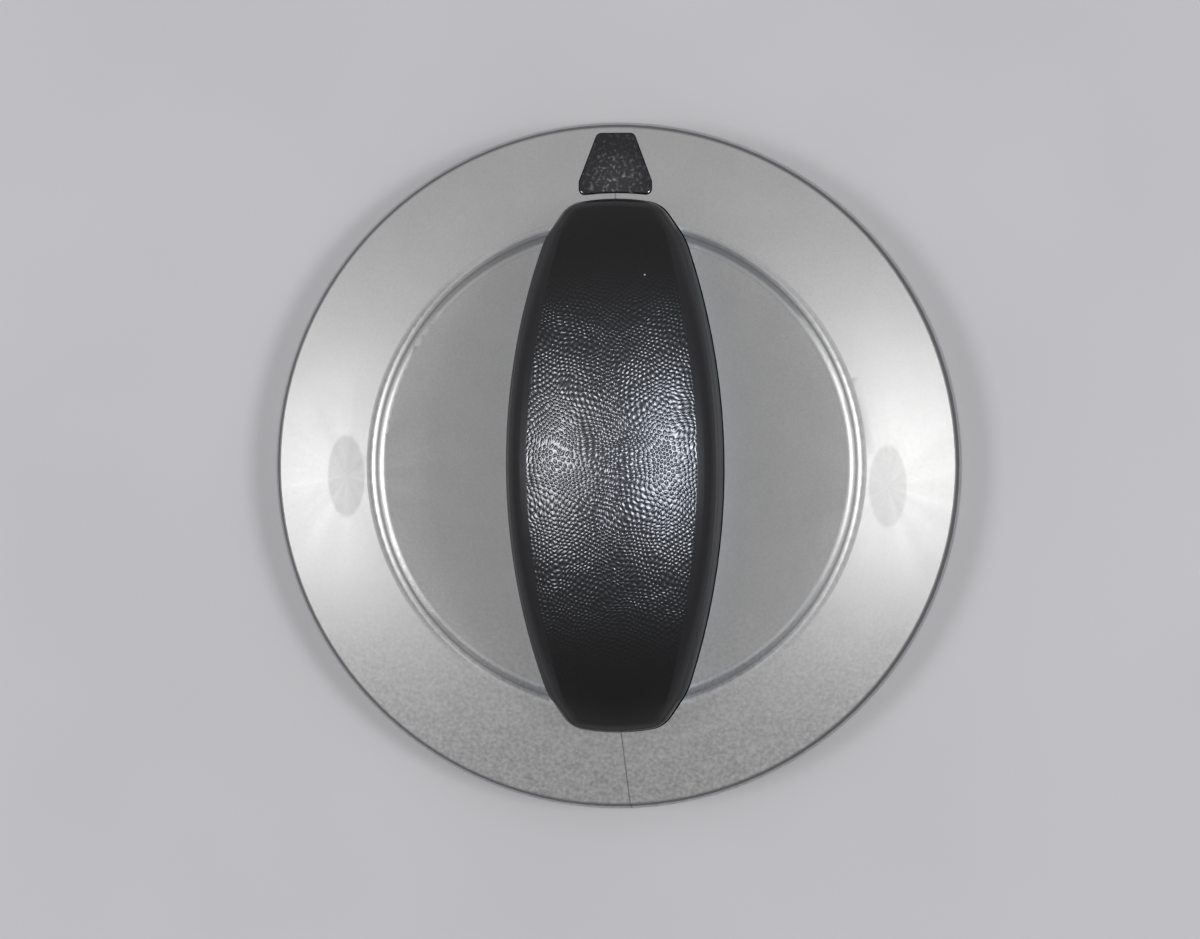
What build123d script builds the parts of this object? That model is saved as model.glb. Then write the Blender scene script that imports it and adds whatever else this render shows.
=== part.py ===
from build123d import *
from math import atan2, cos
import os

# A push-on control knob: silver skirt, black grip moulding and a steel spring clip. Millimetres.
# The origin is on the shaft axis at the skirt's foot. +Z points out of the knob's face, +Y at the pointer.

# Skirt
rim_diameter = 75.5  # across the foot of the skirt
flange_diameter = 74.0  # across the sharp outer edge of the flange
rim_height = 4.2  # foot to that edge
flange_rise = 3.3  # that edge up to the crest of the step
flange_bulge = 0.18  # how far the flange swells above a straight cone
crest_diameter = 53.4  # across the crest of the step
step_depth = 0.82  # crest down to the flat disc
step_lean = 1.13  # how far the step leans in on its way down
skirt_wall = 2.0
flange_edge_radius = 0.25
crest_radius = 1.2
step_foot_radius = 1.64
rim_foot_radius = 0.2
gate_reach = 29.0  # shaft axis to each moulding gate, left and right
gate_diameter = 1.8
gate_stub = 0.4

# Heat stakes of the skirt, formed over below the grip moulding's plate
stake_spacing_x = 33.0
stake_spacing_y = 22.0
stake_diameter = 2.5
stake_clearance = 0.1
stake_head_diameter = 4.2
stake_head_height = 0.9
stake_head_radius = 0.5

# Plate and tongue of the grip moulding, below the skirt
plate_diameter = 47.0
plate_thickness = 1.6
ledge_width = 3.0  # how far the plate reaches past the grip all round
tongue_width = 9.0
tongue_gap = 1.0  # tongue's end to the skirt's inner wall, below the pointer

# Arched finger grip, in plan at the plate's lower face
grip_length = 58.0
grip_width = 23.4
shoulder_length = 49.4  # between the corners where the long sides end
shoulder_width = 15.2
end_width = 10.2  # across each gently rounded end
end_bulge = 0.62
end_corner_radius = 3.2
shoulder_radius = 8.0
grip_draft = 1.0  # degrees
grip_top = 24.5  # foot to the top of the arch
arch_radius = 38.0  # along the grip
crown_radius = 20.0  # across the grip
grip_edge_radius = 3.1
grip_wall = 2.2
pocket_draft = 2.0  # degrees
window_clearance = 0.08  # grip or pointer to its window in the skirt

# Pointer of the grip moulding
pointer_gap = 0.74  # grip's end to the middle of the pointer's inner edge
pointer_margin = 0.7  # pointer's outer end to the flange's edge
pointer_inner_width = 7.86
pointer_outer_width = 3.94
pointer_flank = 1.5  # straight stretch of its sides at the inner end
pointer_hollow = 0.27  # how far its inner edge is hollowed, along the grip's end
pointer_corner_radius = 0.6
pointer_proud = 0.2
pointer_edge_radius = 0.15

# Hub, socket and ribs of the grip moulding
shaft_diameter = 6.0
shaft_across_flat = 4.6  # the shaft's flat to its back
shaft_clearance = 0.05
lead_in_clearance = 0.25
lead_in_length = 4.0
socket_depth = 18.0
socket_chamfer = 0.4
hub_diameter = 12.5
hub_recess = 1.0  # foot plane up to the hub's mouth
hub_chamfer = 0.5
rib_thickness = 1.4
rib_spacing = 6.8  # between the middles of the two long ribs

# Spring clip
clip_thickness = 0.4
clip_width = 3.2
clip_side_clearance = 0.2  # clip to each side of its slot
clip_gap = 0.15  # clip's legs to the lead-in and to the hub's wall
clip_seat = 0.1  # clip's bend to the hub's mouth
clip_bend_radius = 0.5
clip_outer_leg = 3.8
clip_ramp = 5.0  # end of the lead-in up to the bite
clip_bite = 0.25  # how far the free clip stands inside the shaft's flat
clip_tip = 2.6  # bite up to the tip
clip_tip_lean = 0.5

# Radii and levels that follow from the sizes above
rim_r = rim_diameter / 2
flange_r = flange_diameter / 2
crest_r = crest_diameter / 2
step_foot_r = crest_r - step_lean
inner_foot_r = rim_r - skirt_wall
inner_edge_r = flange_r - skirt_wall
pointer_inner = grip_length / 2 + pointer_gap
pointer_outer = flange_r - pointer_margin
tongue_reach = inner_edge_r - tongue_gap
hub_r = hub_diameter / 2
socket_r = shaft_diameter / 2 + shaft_clearance
lead_in_r = shaft_diameter / 2 + lead_in_clearance
crest_z = rim_height + flange_rise
disc_z = crest_z - step_depth
seat_z = disc_z - skirt_wall
plate_z = seat_z - plate_thickness
mouth_z = hub_recess
lead_in_z = mouth_z + lead_in_length
bite_z = lead_in_z + clip_ramp
arch_axis = Axis((0, 0, grip_top - arch_radius), (1, 0, 0))
flange_drop = skirt_wall / cos(atan2(flange_rise, flange_r - crest_r))
flat_y = shaft_diameter / 2 - shaft_across_flat
slot_width = clip_width + 2 * clip_side_clearance
slot_back_y = -lead_in_r - clip_thickness - 2 * clip_gap
stake_head_z = plate_z - stake_head_height
slot_height = lead_in_length + clip_ramp + clip_tip + 2 * clip_gap
stakes = GridLocations(stake_spacing_x, stake_spacing_y, 2, 2)


def below_flange(lift):
    # Half section of all that lies below the flange's face, raised by lift.
    edge = (flange_r, rim_height + lift)
    crest = (crest_r, crest_z + lift)
    with BuildSketch() as region:
        with BuildLine():
            SagittaArc(edge, crest, -flange_bulge)
            Polyline(crest, (0, crest_z + lift), (0, -crest_z), (flange_r, -crest_z), edge)
        make_face()
    return region.sketch


def skirt_hollow(lift):
    # Half section of the room inside the skirt, its roof raised by lift.
    with BuildSketch() as region:
        with BuildLine():
            Polyline(
                (0, -crest_z),
                (inner_foot_r, -crest_z),
                (inner_foot_r, 0),
                (inner_edge_r, rim_height),
                (inner_edge_r, crest_z),
                (0, crest_z),
                close=True,
            )
        make_face()
        add(below_flange(lift - flange_drop), mode=Mode.INTERSECT)
        with Locations((0, seat_z + lift - crest_z)):
            Rectangle(rim_diameter, 2 * crest_z, mode=Mode.INTERSECT)
    return region.sketch


def grip_plan(grow):
    # Plan of the grip: two long arcs, four straight shoulders and two gently rounded ends.
    end_x = end_width / 2
    end_y = grip_length / 2 - end_bulge
    side_x = shoulder_width / 2
    side_y = shoulder_length / 2
    with BuildSketch() as plan:
        with BuildLine():
            for turn in (1, -1):
                tail = (side_x * turn, -side_y * turn)
                head = (side_x * turn, side_y * turn)
                ThreePointArc(tail, (grip_width / 2 * turn, 0), head)
                shoulder = Line(head, (end_x * turn, end_y * turn))
                end = ThreePointArc(shoulder @ 1, (0, grip_length / 2 * turn), (-end_x * turn, end_y * turn))
                Line(end @ 1, (-side_x * turn, side_y * turn))
        make_face()
        if grow:
            offset(amount=grow, kind=Kind.INTERSECTION)
        corners = plan.vertices().group_by(Axis.Y)
        fillet(corners[1] + corners[-2], shoulder_radius + grow)
        corners = plan.vertices().group_by(Axis.Y)
        fillet(corners[0] + corners[-1], end_corner_radius + grow)
    return plan.sketch


def pointer_plan(grow):
    # Plan of the pointer: a wedge with short straight flanks and a hollowed inner edge.
    inner_x = pointer_inner_width / 2
    outer_x = pointer_outer_width / 2
    inner_y = pointer_inner - pointer_hollow
    flank_y = inner_y + pointer_flank
    with BuildSketch() as plan:
        with BuildLine():
            ThreePointArc((-inner_x, inner_y), (0, pointer_inner), (inner_x, inner_y))
            Polyline(
                (inner_x, inner_y),
                (inner_x, flank_y),
                (outer_x, pointer_outer),
                (-outer_x, pointer_outer),
                (-inner_x, flank_y),
                (-inner_x, inner_y),
            )
        make_face()
        fillet(plan.vertices(), pointer_corner_radius)
        if grow:
            offset(amount=grow)
    return plan.sketch


def arch_barrel(top):
    # Half section of the barrel that arches the grip, with its crown at the height top.
    reach = grip_width / 2 + grip_wall
    edge_z = top - crown_radius + (crown_radius**2 - reach**2) ** 0.5
    axis_z = arch_axis.position.Z
    with BuildSketch() as region:
        with BuildLine():
            ThreePointArc((-reach, edge_z), (0, top), (reach, edge_z))
            Polyline((reach, edge_z), (reach, axis_z), (-reach, axis_z), (-reach, edge_z))
        make_face()
    return region.sketch


def round_edges(part, radius, height):
    # The part's round edges of that radius at that height.
    near = 0.01
    level = part.edges().filter_by(GeomType.CIRCLE).filter_by_position(Axis.Z, height - near, height + near)
    return level.filter_by(lambda edge: abs(edge.radius - radius) < near)


with BuildPart() as skirt:
    with BuildSketch(Plane.XZ):
        with BuildLine():
            SagittaArc((flange_r, rim_height), (crest_r, crest_z), -flange_bulge)
            Polyline(
                (crest_r, crest_z),
                (step_foot_r, disc_z),
                (0, disc_z),
                (0, 0),
                (rim_r, 0),
                (flange_r, rim_height),
            )
        make_face()
        add(skirt_hollow(0), mode=Mode.SUBTRACT)
    revolve(axis=Axis.Z)
    fillet(round_edges(skirt, crest_r, crest_z), crest_radius)
    fillet(round_edges(skirt, step_foot_r, disc_z), step_foot_radius)
    fillet(round_edges(skirt, flange_r, rim_height), flange_edge_radius)
    fillet(round_edges(skirt, rim_r, 0), rim_foot_radius)
    # Stubs of the two gates, under the flange
    with BuildSketch(Plane.XY.offset(seat_z - gate_stub)):
        with GridLocations(2 * gate_reach, 0, 2, 1):
            Circle(gate_diameter / 2)
    extrude(amount=gate_stub + skirt_wall / 2)
    # Stakes through the plate, and their formed heads
    with BuildSketch(Plane.XY.offset(plate_z)):
        with stakes:
            Circle(stake_diameter / 2)
    extrude(amount=plate_thickness + skirt_wall / 2)
    with BuildSketch(Plane.XY.offset(stake_head_z)):
        with stakes:
            Circle(stake_head_diameter / 2)
    extrude(amount=stake_head_height)
    fillet(round_edges(skirt, stake_head_diameter / 2, stake_head_z), stake_head_radius)
    # Windows for the grip and the pointer
    with BuildSketch():
        add(grip_plan(window_clearance))
        add(pointer_plan(window_clearance))
    extrude(amount=crest_z, mode=Mode.SUBTRACT)

with BuildPart() as finger_grip:
    with BuildSketch(Plane.XY.offset(plate_z)):
        add(grip_plan(0))
    extrude(amount=grip_top, taper=grip_draft)
    with BuildSketch(Plane.XZ):
        add(arch_barrel(grip_top))
    revolve(axis=arch_axis, mode=Mode.INTERSECT)
    fillet(finger_grip.faces().sort_by(Axis.Z)[-1].edges(), grip_edge_radius)

with BuildPart() as pockets:
    with BuildSketch(Plane.XY.offset(plate_z)):
        add(grip_plan(-grip_wall))
    extrude(amount=grip_top - plate_z, taper=pocket_draft)
    with BuildSketch(Plane.XZ):
        add(arch_barrel(grip_top - grip_wall))
    revolve(axis=arch_axis, mode=Mode.INTERSECT)
    # The hub, two long ribs and a cross rib stay solid between the pockets
    with BuildSketch(Plane.XY.offset(plate_z)):
        Circle(hub_r)
        Rectangle(grip_width, rib_thickness)
        with GridLocations(rib_spacing, 0, 2, 1):
            Rectangle(rib_thickness, grip_length)
    extrude(amount=grip_top, mode=Mode.SUBTRACT)

with BuildPart() as pointer:
    with BuildSketch():
        add(pointer_plan(0))
    extrude(amount=2 * crest_z)
    with BuildSketch(Plane.XZ):
        add(below_flange(pointer_proud))
        add(below_flange(-flange_drop - plate_thickness), mode=Mode.SUBTRACT)
    revolve(axis=Axis.Z, mode=Mode.INTERSECT)
    fillet(pointer.faces().sort_by(Axis.Z)[-1].edges(), pointer_edge_radius)

with BuildPart() as grip:
    # Plate and tongue: a layer against the skirt's underside, cut to their plan
    with BuildSketch(Plane.XZ):
        add(skirt_hollow(0))
        add(skirt_hollow(-plate_thickness), mode=Mode.SUBTRACT)
    revolve(axis=Axis.Z)
    with BuildSketch():
        Circle(plate_diameter / 2)
        add(grip_plan(ledge_width))
        with Locations((0, tongue_reach / 2)):
            Rectangle(tongue_width, tongue_reach)
    extrude(amount=crest_z, mode=Mode.INTERSECT)
    with BuildSketch(Plane.XY.offset(plate_z)):
        with stakes:
            Circle(stake_diameter / 2 + stake_clearance)
    extrude(amount=plate_thickness, mode=Mode.SUBTRACT)
    add(finger_grip.part)
    add(pointer.part)
    add(pockets.part, mode=Mode.SUBTRACT)
    # Hub below the plate
    with BuildSketch(Plane.XY.offset(mouth_z)):
        Circle(hub_r)
    extrude(amount=plate_z - mouth_z)
    chamfer(round_edges(grip, hub_r, mouth_z), hub_chamfer)
    # Socket: round lead-in, then a D that drives the shaft
    with BuildSketch(Plane.XY.offset(mouth_z)):
        Circle(socket_r)
        with Locations((0, flat_y - shaft_clearance - socket_r)):
            Rectangle(2 * socket_r, 2 * socket_r, mode=Mode.SUBTRACT)
    extrude(amount=socket_depth, mode=Mode.SUBTRACT)
    with BuildSketch(Plane.XY.offset(mouth_z)):
        Circle(lead_in_r)
    extrude(amount=lead_in_length, mode=Mode.SUBTRACT)
    chamfer(round_edges(grip, lead_in_r, mouth_z), socket_chamfer)
    # Slot for the spring clip
    with BuildSketch(Plane.XY.offset(mouth_z)):
        with Locations((0, slot_back_y / 2)):
            Rectangle(slot_width, -slot_back_y)
    extrude(amount=slot_height, mode=Mode.SUBTRACT)

with BuildPart() as spring_clip:
    # The strip's middle line: outer leg, bend below the hub's mouth, inner leg, ramp, bite and tip
    half = clip_thickness / 2
    outer_y = -hub_r - clip_gap - half
    inner_y = -lead_in_r - clip_gap - half
    bend_z = mouth_z - clip_seat - half
    bite_y = flat_y + clip_bite - half
    with BuildSketch(Plane.YZ):
        with BuildLine():
            FilletPolyline(
                (outer_y, bend_z + clip_outer_leg),
                (outer_y, bend_z),
                (inner_y, bend_z),
                (inner_y, lead_in_z + clip_bend_radius),
                (bite_y, bite_z),
                (bite_y - clip_tip_lean, bite_z + clip_tip),
                radius=clip_bend_radius,
            )
        trace(line_width=clip_thickness)
    extrude(amount=clip_width / 2, both=True)

os.makedirs("parts", exist_ok=True)
skirt.part.label = "skirt"
grip.part.label = "grip"
spring_clip.part.label = "spring_clip"
export_step(skirt.part, "parts/skirt.step")
export_step(grip.part, "parts/grip.step")
export_step(spring_clip.part, "parts/spring_clip.step")
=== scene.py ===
from math import cos, pi, radians, sin, sqrt

import bpy
from mathutils import Matrix, Vector

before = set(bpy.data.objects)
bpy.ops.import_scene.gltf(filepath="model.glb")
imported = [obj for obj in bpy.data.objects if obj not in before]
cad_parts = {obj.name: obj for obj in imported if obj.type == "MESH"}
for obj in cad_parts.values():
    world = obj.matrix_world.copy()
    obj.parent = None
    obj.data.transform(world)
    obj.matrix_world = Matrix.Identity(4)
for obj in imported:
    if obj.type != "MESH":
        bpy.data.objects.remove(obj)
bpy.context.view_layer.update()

# The looks of a push-on control knob: satin silver skirt, grained black grip and a bright steel clip.
# Metres, in the frame of the solids: the foot of the skirt is at Z 0 and +Y points at the pointer.
MM = 0.001

# Camera, above the knob and a little to its right
camera_place = Vector((22.0, 0.0, 660.0)) * MM
camera_aim = Vector((-2.05, -0.43, 0.0)) * MM
camera_roll = radians(0.27)
camera_lens = 180.0  # millimetres, on a sensor 36 mm wide

# Two softboxes, left and right, and a second pair that lights only the grip
softbox_reach = 600 * MM  # knob to softbox
softbox_width = 160 * MM
softbox_length = 200 * MM
softbox_left = (radians(183.0), radians(43.3), 0.99)  # heading, lean from straight up, power
softbox_right = (radians(0.0), radians(38.3), 1.16)
grip_light_left = (radians(175.0), radians(35.0), 10.0)
grip_light_right = (radians(5.0), radians(31.0), 13.6)
left_tone = (0.88, 0.91, 1.0)
right_tone = (0.79, 0.86, 1.0)

# Dim room around them, by height from 0 at the horizon to 1 straight up
room_tone = (0.99, 0.99, 1.02)
room_overhead = 0.335
room_ring = 0.66  # between overhead and the horizon
room_horizon = 0.42
ring_bottom = 0.1
ring_full = 0.7
ring_top = 0.84
room_slope = 0.23  # how much brighter the room is beyond the pointer than on the near side

# Floor
floor_size = 1.6
floor_gap = 0.02 * MM
floor_tone = (0.50, 0.50, 0.513)
floor_rough = 0.6
floor_patch = 40 * MM
floor_spread = 0.02

# Range that holds most of a noise
noise_low = 0.3
noise_high = 0.7

# Silver, its flakes, its mottle and its clouds
silver_tone = (0.45, 0.45, 0.445)
silver_glance = (0.5, 0.5, 0.52, 1.0)  # tint at a grazing angle
silver_rough = (0.45, 0.51)
flake_size = 0.12 * MM
flake_spread = 0.06
mottle_size = 0.45 * MM
mottle_near = -36 * MM  # on Y, where the mottle is strong
mottle_far = -12 * MM  # on Y, where it has faded
mottle_strong = 1.04
mottle_faint = 0.1
cloud_size = 6 * MM
cloud_spread = 0.015

# Blush over each gate and the streaks around it
gate_reach = 29.5 * MM  # shaft axis to the middle of the blush
gate_drop_left = 1.0 * MM
gate_drop_right = 2.4 * MM
blush_width = 4.1 * MM
blush_length = 8.9 * MM
blush_soft = 0.08
blush_left = 0.2  # how much darker it is
blush_right = 0.16
streak_reach = 15 * MM  # how far flow streaks fan out from a gate
streak_turn = 0.30  # breadth of a streak, as a share of its distance from the gate
streak_spread = 0.28

# Knit line at each end of the grip
knit_start = 28.9 * MM  # shaft axis to its inner end
knit_end = 30.0 * MM  # shaft axis to its outer end, on the pointer's side
knit_offset = 0.35 * MM
knit_lean = -0.11
knit_width = 0.11 * MM
knit_depth = 0.02 * MM
knit_strength = 0.6
knit_shade = 0.55

# Rim under the flange, darkened with painted shade, and a painted highlight on its foot
rim_edge = 4.1 * MM  # foot up to the sharp edge of the flange
rim_blend = 0.3 * MM
# painted shade over the rim below the flange's edge
rim_painted_shade = 0.55
foot_highlight_top = 1.6 * MM  # foot up to the end of the painted highlight
foot_highlight_blend = 0.5 * MM
# painted highlight on the rim's foot, lighter than the rest of the rim
foot_highlight_gain = 2.8

# Step between disc and flange, with a painted highlight and glossy lines
ring_radius = 26.1 * MM  # shaft axis to the middle of the step
ring_width = 1.1 * MM
ring_core = 0.6  # share of that width with the full effect
faint_highlight_x = -22 * MM  # on X, where the step's painted highlight is faint
full_highlight_x = -13 * MM  # on X, where the step's painted highlight is full
# strength of the step's painted highlight, faint and full
faint_highlight = 0.05
full_highlight = 0.45
groove_reach = 0.1 * MM  # middle of the step to the edge of its groove
line_reach = 0.45 * MM  # middle of the step to its glossy lines
groove_rough = 0.1  # roughness added, as a share
line_rough = -0.24

# Black and the grain on the grip's top
black_tone = (0.0038, 0.0038, 0.0041)
black_ior = 1.36
black_spread = 0.15
grain_pitch = 0.535 * MM
grain_depth = 0.052 * MM
grain_radius = 95.0 * MM  # of the grain's long borders, in plan
grain_reach = 9.16 * MM  # shaft axis to the middle of a long border
grain_blend = 0.3 * MM
grain_end = 27.0 * MM
grain_rough = 0.34
grain_turns = (radians(10.0), radians(70.0), radians(130.0))
wave_span = 4.5  # lowest to highest of the three waves together
wander_size = 5 * MM
wander = 2.6 * MM
jitter_size = 0.85 * MM
jitter = 0.52 * MM
arch_radius = 38 * MM
crown_radius = 20 * MM

# Bare border of the grip, lightened with a painted sheen, and its matt walls
side_radius = 76.4 * MM  # of the grip's long sides, in plan
side_reach = 11.7 * MM  # shaft axis to the middle of a long side
wall_start = 0.25 * MM  # inward from the long side
wall_end = 0.7 * MM
wall_rough = 0.75
bare_rough = 0.2
# painted sheen on the bare border, full along the middle and fading towards the grip's ends
band_sheen = 2.2
band_full = 22 * MM
band_end = 29 * MM

# Scuffed pointer and one speck of dust
pointer_start = 29.3 * MM
pointer_blend = 0.3 * MM
pointer_shade = 3.5
speck_size = 0.36 * MM
speck_low = 0.5
speck_high = 0.75
speck_shade = 30.0
scuff_reach = 30.9 * MM  # shaft axis to the most scuffed spot
scuff_near = 0.4 * MM
scuff_far = 4.5 * MM
scuff_strong = 1.7
scuff_faint = 0.35
dust_place = (3.5 * MM, 20.4 * MM)
dust_size = 0.17 * MM
dust_soft = 0.3
dust_shade = 120.0

# Spring steel
steel_tone = (0.56, 0.56, 0.57)
steel_rough = (0.22, 0.36)
steel_spread = 0.1
steel_line = 0.06 * MM  # breadth of a rolling line
steel_stretch = (1.0, 0.06, 0.06)


def node(tree, kind, inputs, **settings):
    """A shader node with its settings, and its inputs linked or set."""
    made = tree.nodes.new(kind)
    for name, value in settings.items():
        setattr(made, name, value)
    for key, value in inputs.items():
        if isinstance(value, bpy.types.NodeSocket):
            tree.links.new(value, made.inputs[key])
        else:
            made.inputs[key].default_value = value
    return made


def calc(tree, operation, first, second=0.0):
    """One step of arithmetic on two numbers of a shader."""
    return node(tree, "ShaderNodeMath", {0: first, 1: second}, operation=operation).outputs[0]


def product(tree, *numbers):
    """Numbers of a shader multiplied together."""
    total = numbers[0]
    for number in numbers[1:]:
        total = calc(tree, "MULTIPLY", total, number)
    return total


def remap(tree, value, low, high, to_low, to_high):
    """A number carried smoothly from one range to another, and held at both ends."""
    made = node(
        tree,
        "ShaderNodeMapRange",
        {"Value": value, "From Min": low, "From Max": high, "To Min": to_low, "To Max": to_high},
        interpolation_type="SMOOTHSTEP",
    )
    return made.outputs["Result"]


def noise(tree, place, size, detail=2.0):
    """Soft noise with features of about that size."""
    made = node(tree, "ShaderNodeTexNoise", {"Vector": place, "Scale": 1 / size, "Detail": detail})
    return made.outputs["Fac"]


def vary(tree, value, low, high):
    """A noise carried to the range from low to high."""
    return remap(tree, value, noise_low, noise_high, low, high)


def tint(tree, tone, strength):
    """A colour made lighter or darker by a number."""
    made = node(tree, "ShaderNodeVectorMath", {0: tone, "Scale": strength}, operation="SCALE")
    return made.outputs[0]


def split(tree, vector):
    """The X, Y and Z of a vector."""
    made = node(tree, "ShaderNodeSeparateXYZ", {0: vector})
    return made.outputs["X"], made.outputs["Y"], made.outputs["Z"]


def join(tree, x, y, z):
    """A vector from its X, Y and Z."""
    return node(tree, "ShaderNodeCombineXYZ", {"X": x, "Y": y, "Z": z}).outputs[0]


def length(tree, vector):
    """The length of a vector."""
    return node(tree, "ShaderNodeVectorMath", {0: vector}, operation="LENGTH").outputs["Value"]


def new_material(name, **constants):
    """A material, its node tree, its surface shader and the place on the knob, in metres."""
    material = bpy.data.materials.new(name)
    material.use_nodes = True
    tree = material.node_tree
    surface = tree.nodes["Principled BSDF"]
    for key, value in constants.items():
        surface.inputs[key.replace("_", " ")].default_value = value
    place = node(tree, "ShaderNodeTexCoord", {}).outputs["Object"]
    return material, tree, surface, place


def oval(tree, x, y, middle, size, soft):
    """1 inside an oval on the knob's face, 0 outside, with an edge as soft as stated."""
    across = calc(tree, "DIVIDE", calc(tree, "SUBTRACT", x, middle[0]), size[0] / 2)
    upward = calc(tree, "DIVIDE", calc(tree, "SUBTRACT", y, middle[1]), size[1] / 2)
    spread = length(tree, join(tree, across, upward, 0.0))
    return remap(tree, spread, 1 - soft, 1 + soft, 1.0, 0.0)


def silver():
    """Satin moulding full of fine metal flakes, with the marks of its two gates and its knit lines, a
    painted highlight on the step, painted shade on the rim and a painted highlight on its foot.
    """
    material, tree, surface, place = new_material(
        "silver_flake", Metallic=1.0, Specular_Tint=silver_glance
    )
    x, y, z = split(tree, place)
    flakes = noise(tree, place, flake_size)
    near_side = remap(tree, y, mottle_near, mottle_far, mottle_strong, mottle_faint)
    mottle = calc(tree, "SUBTRACT", noise(tree, place, mottle_size, 3.0), 0.5)
    mottle = calc(tree, "ADD", product(tree, mottle, near_side), 1.0)
    cloud = vary(tree, noise(tree, place, cloud_size), 1 - cloud_spread, 1 + cloud_spread)

    # Blush over each gate, and the streaks that fan out from it
    side_x = calc(tree, "ABSOLUTE", x)
    gate_y = calc(tree, "ADD", y, remap(tree, x, -MM, MM, gate_drop_left, gate_drop_right))
    blush = oval(tree, side_x, gate_y, (gate_reach, 0.0), (blush_width, blush_length), blush_soft)
    blush = product(tree, blush, remap(tree, x, -MM, MM, blush_left, blush_right))
    from_gate = join(tree, calc(tree, "SUBTRACT", side_x, gate_reach), gate_y, 0.0)
    heading = node(tree, "ShaderNodeVectorMath", {0: from_gate}, operation="NORMALIZE").outputs[0]
    heading = node(
        tree,
        "ShaderNodeVectorMath",
        {0: heading, 1: join(tree, 0.0, 0.0, calc(tree, "SIGN", x))},
        operation="ADD",
    ).outputs[0]
    fade = remap(tree, length(tree, from_gate), blush_length / 3, streak_reach, streak_spread, 0.0)
    streak = calc(tree, "SUBTRACT", noise(tree, heading, streak_turn, 3.0), 0.5)
    streak = calc(tree, "ADD", calc(tree, "MULTIPLY", streak, fade), 1.0)

    # Knit line at each end of the grip, where the flows met
    middle = calc(tree, "MULTIPLY", remap(tree, y, -knit_start, knit_start, 1.0, 0.0), knit_offset)
    lean = calc(tree, "MULTIPLY", calc(tree, "ADD", y, knit_start), knit_lean)
    middle = calc(tree, "ADD", middle, lean)
    middle = calc(tree, "MULTIPLY", middle, remap(tree, y, -knit_start, 0.0, 1.0, 0.0))
    off_line = calc(tree, "ABSOLUTE", calc(tree, "SUBTRACT", x, middle))
    knit = product(
        tree,
        remap(tree, off_line, knit_width / 3, knit_width, 1.0, 0.0),
        remap(tree, calc(tree, "ABSOLUTE", y), knit_start - knit_width, knit_start, 0.0, 1.0),
        remap(tree, y, knit_end, knit_end + knit_width, 1.0, 0.0),
    )

    # The step gets a painted highlight, with glossy lines on both sides of its groove
    from_axis = length(tree, join(tree, x, y, 0.0))
    off_ring = calc(tree, "ABSOLUTE", calc(tree, "SUBTRACT", from_axis, ring_radius))
    ring = remap(tree, off_ring, ring_width * ring_core, ring_width, 1.0, 0.0)
    painted_step_highlight = product(tree, ring, remap(tree, x, faint_highlight_x, full_highlight_x, faint_highlight, full_highlight))
    gloss = product(tree, ring, remap(tree, off_ring, groove_reach, line_reach, groove_rough, line_rough))

    shade = product(
        tree,
        # painted highlight on the step
        calc(tree, "ADD", painted_step_highlight, 1.0),
        vary(tree, flakes, 1 - flake_spread, 1 + flake_spread),
        mottle,
        cloud,
        streak,
        calc(tree, "SUBTRACT", 1.0, blush),
        remap(tree, knit, 0.0, 1.0, 1.0, knit_shade),
        # painted shade on the rim below the flange's edge
        remap(tree, z, rim_edge - rim_blend, rim_edge, rim_painted_shade, 1.0),
        # painted highlight on the rim's foot
        remap(tree, z, foot_highlight_top, foot_highlight_top + foot_highlight_blend, foot_highlight_gain, 1.0),
    )
    tree.links.new(tint(tree, silver_tone, shade), surface.inputs["Base Color"])
    rough = product(tree, vary(tree, flakes, *silver_rough), calc(tree, "ADD", gloss, 1.0))
    tree.links.new(rough, surface.inputs["Roughness"])
    dent = {"Strength": knit_strength, "Distance": knit_depth, "Height": knit}
    bump = node(tree, "ShaderNodeBump", dent, invert=True)
    tree.links.new(bump.outputs["Normal"], surface.inputs["Normal"])
    return material


def along(tree, reach, radius):
    """How far a place lies along an arc, from its reach across the arc."""
    return calc(tree, "MULTIPLY", calc(tree, "ARCSINE", calc(tree, "DIVIDE", reach, radius)), radius)


def within(tree, x, y, radius, reach):
    """How far a place lies inside two long arcs that bow out to the left and right of the shaft axis."""
    across = calc(tree, "ADD", calc(tree, "ABSOLUTE", x), radius - reach)
    return calc(tree, "SUBTRACT", radius, length(tree, join(tree, across, y, 0.0)))


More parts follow.
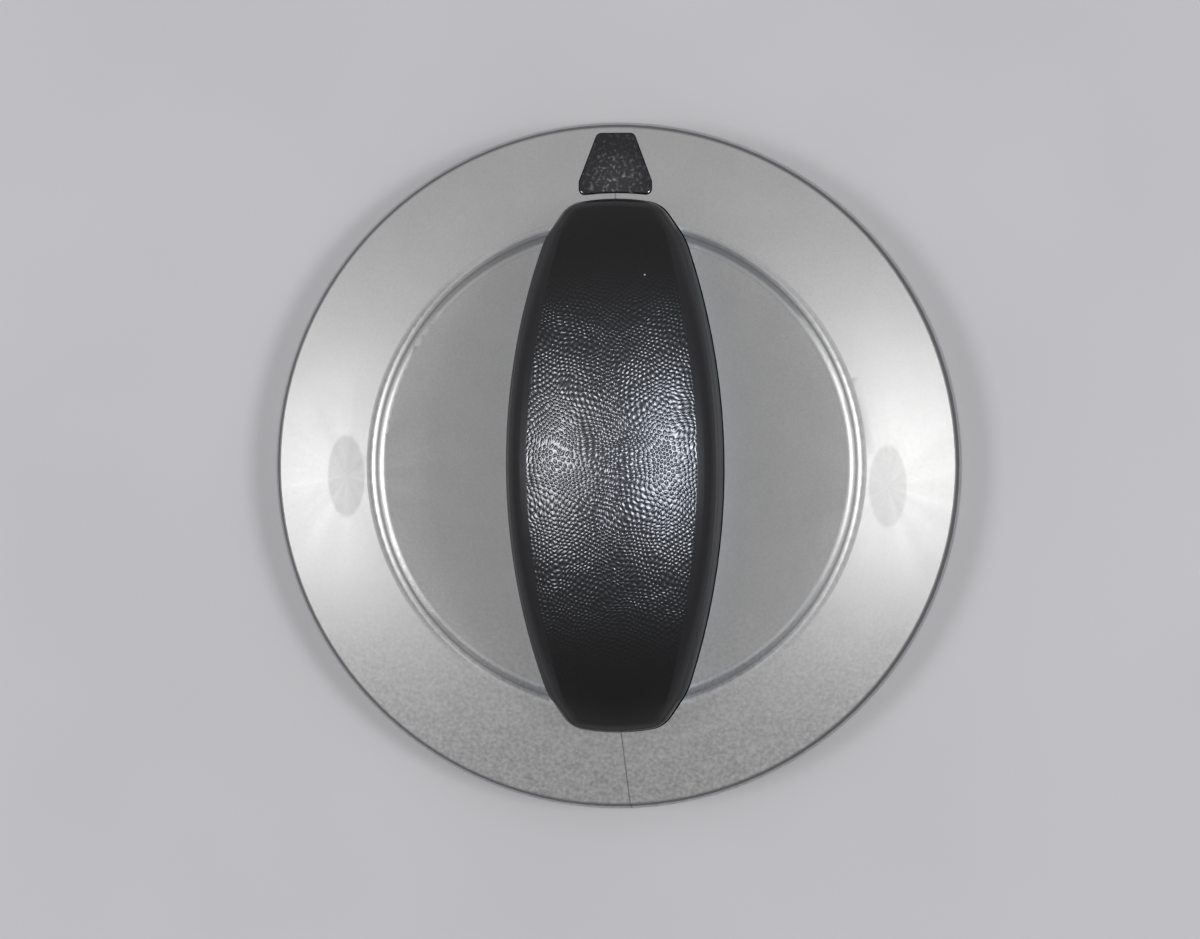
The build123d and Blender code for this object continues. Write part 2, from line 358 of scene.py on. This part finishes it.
def black():
    """Black moulding: a fine cobbled grain on the grip's top, bare sides with a painted sheen and a
    scuffed pointer.
    """
    material, tree, surface, place = new_material("black_grain", IOR=black_ior)
    x, y, _ = split(tree, place)
    far_y = calc(tree, "ABSOLUTE", y)
    inside = within(tree, x, y, side_radius, side_reach)
    covered = remap(tree, within(tree, x, y, grain_radius, grain_reach), 0.0, grain_blend, 0.0, 1.0)
    grained = product(tree, covered, remap(tree, far_y, grain_end / 2, grain_end, 1.0, 0.0))
    bare = remap(tree, inside, wall_start, wall_end, wall_rough, bare_rough)
    bare = product(tree, bare, calc(tree, "SUBTRACT", 1.0, grained))
    rough = calc(tree, "ADD", bare, product(tree, grained, grain_rough))
    tree.links.new(rough, surface.inputs["Roughness"])

    # Domes of the grain, packed in rows that wander
    spot = join(tree, along(tree, x, crown_radius), along(tree, y, arch_radius), 0.0)
    for size, reach in ((wander_size, wander), (jitter_size, jitter)):
        drift = node(tree, "ShaderNodeTexNoise", {"Vector": place, "Scale": 1 / size, "Detail": 1.0})
        spot = node(
            tree,
            "ShaderNodeVectorMath",
            {0: drift.outputs["Color"], 1: (reach, reach, 0.0), 2: spot},
            operation="MULTIPLY_ADD",
        ).outputs[0]
    row_pitch = grain_pitch * sqrt(3) / 2
    domes = 0.0
    for turn in grain_turns:
        pace = Vector((cos(turn), sin(turn), 0.0)) * (2 * pi / row_pitch)
        phase = node(tree, "ShaderNodeVectorMath", {0: spot, 1: pace}, operation="DOT_PRODUCT")
        domes = calc(tree, "ADD", calc(tree, "COSINE", phase.outputs["Value"]), domes)
    relief = product(tree, domes, 1 / wave_span, grained)
    bump = node(tree, "ShaderNodeBump", {"Strength": 1.0, "Distance": grain_depth, "Height": relief})
    tree.links.new(bump.outputs["Normal"], surface.inputs["Normal"])

    # Specks on the pointer, thickest near the grip, and one speck of dust
    pointer = remap(tree, y, pointer_start, pointer_start + pointer_blend, 0.0, 1.0)
    specks = remap(tree, noise(tree, place, speck_size, 3.0), speck_low, speck_high, 0.0, 1.0)
    scuffs = calc(tree, "ADD", calc(tree, "MULTIPLY", specks, speck_shade), pointer_shade)
    from_scuff = length(tree, join(tree, x, calc(tree, "SUBTRACT", y, scuff_reach), 0.0))
    thinning = remap(tree, from_scuff, scuff_near, scuff_far, scuff_strong, scuff_faint)
    scuffs = product(tree, scuffs, thinning, pointer)
    dust = oval(tree, x, y, dust_place, (dust_size, dust_size), dust_soft)
    dust = calc(tree, "MULTIPLY", dust, dust_shade)

    # Painted sheen: the bare border is a little lighter, except near the grip's ends
    painted_band_sheen = product(
        tree,
        remap(tree, covered, 0.0, 1.0, band_sheen, 0.0),
        remap(tree, far_y, band_full, band_end, 1.0, 0.0),
    )
    shade = vary(tree, noise(tree, place, mottle_size), 1 - black_spread, 1 + black_spread)
    for extra in (scuffs, dust, painted_band_sheen):
        shade = calc(tree, "ADD", shade, extra)
    tree.links.new(tint(tree, black_tone, shade), surface.inputs["Base Color"])
    return material


def spring_steel():
    """Bright rolled strip with fine lines along it."""
    material, tree, surface, place = new_material("spring_steel", Metallic=1.0)
    stretched = node(tree, "ShaderNodeMapping", {"Vector": place, "Scale": steel_stretch})
    lines = noise(tree, stretched.outputs["Vector"], steel_line)
    shade = vary(tree, lines, 1 - steel_spread, 1 + steel_spread)
    tree.links.new(tint(tree, steel_tone, shade), surface.inputs["Base Color"])
    tree.links.new(vary(tree, lines, *steel_rough), surface.inputs["Roughness"])
    return material


def floor():
    """Plain pale floor, faintly uneven."""
    material, tree, surface, place = new_material("floor", Roughness=floor_rough)
    shade = vary(tree, noise(tree, place, floor_patch), 1 - floor_spread, 1 + floor_spread)
    tree.links.new(tint(tree, floor_tone, shade), surface.inputs["Base Color"])
    bpy.ops.mesh.primitive_plane_add(size=floor_size, location=(0, 0, -floor_gap))
    made = bpy.context.object
    made.name = "floor"
    made.data.materials.append(material)


def look_at(thing, place, aim, up):
    """Puts a camera or light at a place, facing its aim, with up towards the top of its view."""
    forward = (aim - place).normalized()
    right = forward.cross(up).normalized()
    turn = Matrix((right, right.cross(forward), -forward)).transposed()
    thing.matrix_world = Matrix.Translation(place) @ turn.to_4x4()


def camera():
    """The camera, at the photograph's angle."""
    data = bpy.data.cameras.new("camera")
    data.lens = camera_lens
    made = bpy.data.objects.new("camera", data)
    bpy.context.scene.collection.objects.link(made)
    look_at(made, camera_place, camera_aim, Vector((sin(camera_roll), cos(camera_roll), 0)))
    bpy.context.scene.camera = made


def softbox(name, heading, lean, power):
    """One softbox beside the knob."""
    data = bpy.data.lights.new(name, "AREA")
    data.shape = "RECTANGLE"
    data.size = softbox_length
    data.size_y = softbox_width
    data.energy = power
    made = bpy.data.objects.new(name, data)
    bpy.context.scene.collection.objects.link(made)
    across = sin(lean)
    place = Vector((cos(heading) * across, sin(heading) * across, cos(lean))) * softbox_reach
    look_at(made, place, Vector((0, 0, 0)), Vector((0, 0, 1)))
    made.visible_camera = False
    return made


def room():
    """The dim room, brightest in a ring between the horizon and overhead, and beyond the pointer."""
    world = bpy.data.worlds.new("room")
    world.use_nodes = True
    tree = world.node_tree
    heading = node(tree, "ShaderNodeTexCoord", {}).outputs["Generated"]
    _, y, z = split(tree, heading)
    glow = product(
        tree,
        remap(tree, z, ring_bottom, ring_full, room_horizon / room_ring, 1.0),
        remap(tree, z, ring_top, 1.0, room_ring, room_overhead),
        calc(tree, "ADD", calc(tree, "MULTIPLY", y, room_slope), 1.0),
    )
    tree.links.new(tint(tree, room_tone, glow), tree.nodes["Background"].inputs["Color"])
    bpy.context.scene.world = world


def lights():
    """The softboxes, with a second pair that only brings out the grip's grain."""
    only_grip = bpy.data.collections.new("only_grip")
    only_grip.objects.link(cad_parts["grip"])
    softbox("softbox_left", *softbox_left)
    softbox("softbox_right", *softbox_right)
    pair = (("left", grip_light_left, left_tone), ("right", grip_light_right, right_tone))
    for name, setting, tone in pair:
        extra = softbox("grip_light_" + name, *setting)
        extra.data.color = tone
        extra.visible_diffuse = False
        extra.light_linking.receiver_collection = only_grip


def dress(name, material):
    """Gives a node of the knob its finish."""
    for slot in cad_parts[name].material_slots:
        slot.material = material


dress("skirt", silver())
dress("grip", black())
dress("spring_clip", spring_steel())
floor()
room()
lights()
camera()
bpy.context.scene.view_settings.view_transform = "Standard"
